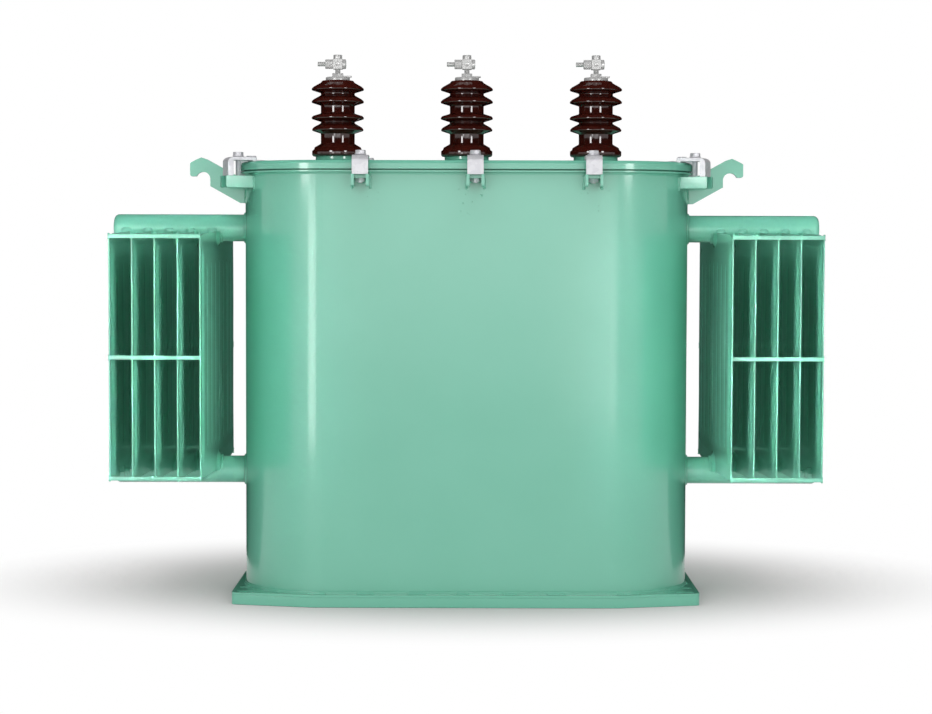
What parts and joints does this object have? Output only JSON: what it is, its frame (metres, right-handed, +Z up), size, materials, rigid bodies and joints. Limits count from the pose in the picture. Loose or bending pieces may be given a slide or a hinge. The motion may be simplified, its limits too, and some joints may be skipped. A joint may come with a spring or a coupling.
{
  "type": "three-phase distribution transformer",
  "caption": "Oil-filled distribution transformer: obround steel tank on a slotted base, clamped cover, brown porcelain bushings, lifting hooks and pressed-fin radiators at both ends.",
  "frame": {"origin": "middle of the bounding box's footprint, at floor level", "axes": "+X along the tank from one radiator to the other, -Y is the front with the high-voltage leads, +Z up"},
  "size_m": [1.584, 0.66, 1.2162],
  "materials": {
    "enamel": "gloss green enamel on sheet steel",
    "porcelain": "dark brown glazed porcelain",
    "galvanised": "hot-dip galvanised steel",
    "tinned": "tinned brass, satin",
    "seal": "matt nitrile and cork seal"
  },
  "bodies": {
    "root": {"base_plate": "enamel", "base_lips": "enamel", "tank_bottom": "enamel", "tank_wall": "enamel", "tank_rim": "enamel", "cover_gasket": "seal", "cover": "enamel", "hv_seats": "enamel", "clamp_bolts": "galvanised", "lv_bushings": "porcelain", "lv_terminals": "tinned", "drain_plug": "enamel", "earth_terminal": "galvanised", "hv_bushing_left": "porcelain", "hv_terminal_left": "tinned", "hv_bushing_middle": "porcelain", "hv_terminal_middle": "tinned", "hv_bushing_right": "porcelain", "hv_terminal_right": "tinned", "lifting_hook_left": "enamel", "tie_bars_left": "enamel", "upper_header_left": "enamel", "lower_header_left": "enamel", "fin_left_1": "enamel", "fin_left_2": "enamel", "fin_left_3": "enamel", "fin_left_4": "enamel", "fin_left_5": "enamel", "lifting_hook_right": "enamel", "tie_bars_right": "enamel", "upper_header_right": "enamel", "lower_header_right": "enamel", "fin_right_1": "enamel", "fin_right_2": "enamel", "fin_right_3": "enamel", "fin_right_4": "enamel", "fin_right_5": "enamel", "clamp_brackets_front": "enamel", "cover_clamps_front": "galvanised", "clamp_brackets_rear": "enamel", "cover_clamps_rear": "galvanised", "clamp_brackets_left": "enamel", "cover_clamps_left": "galvanised", "clamp_brackets_right": "enamel", "cover_clamps_right": "galvanised"}
  },
  "joints": []
}
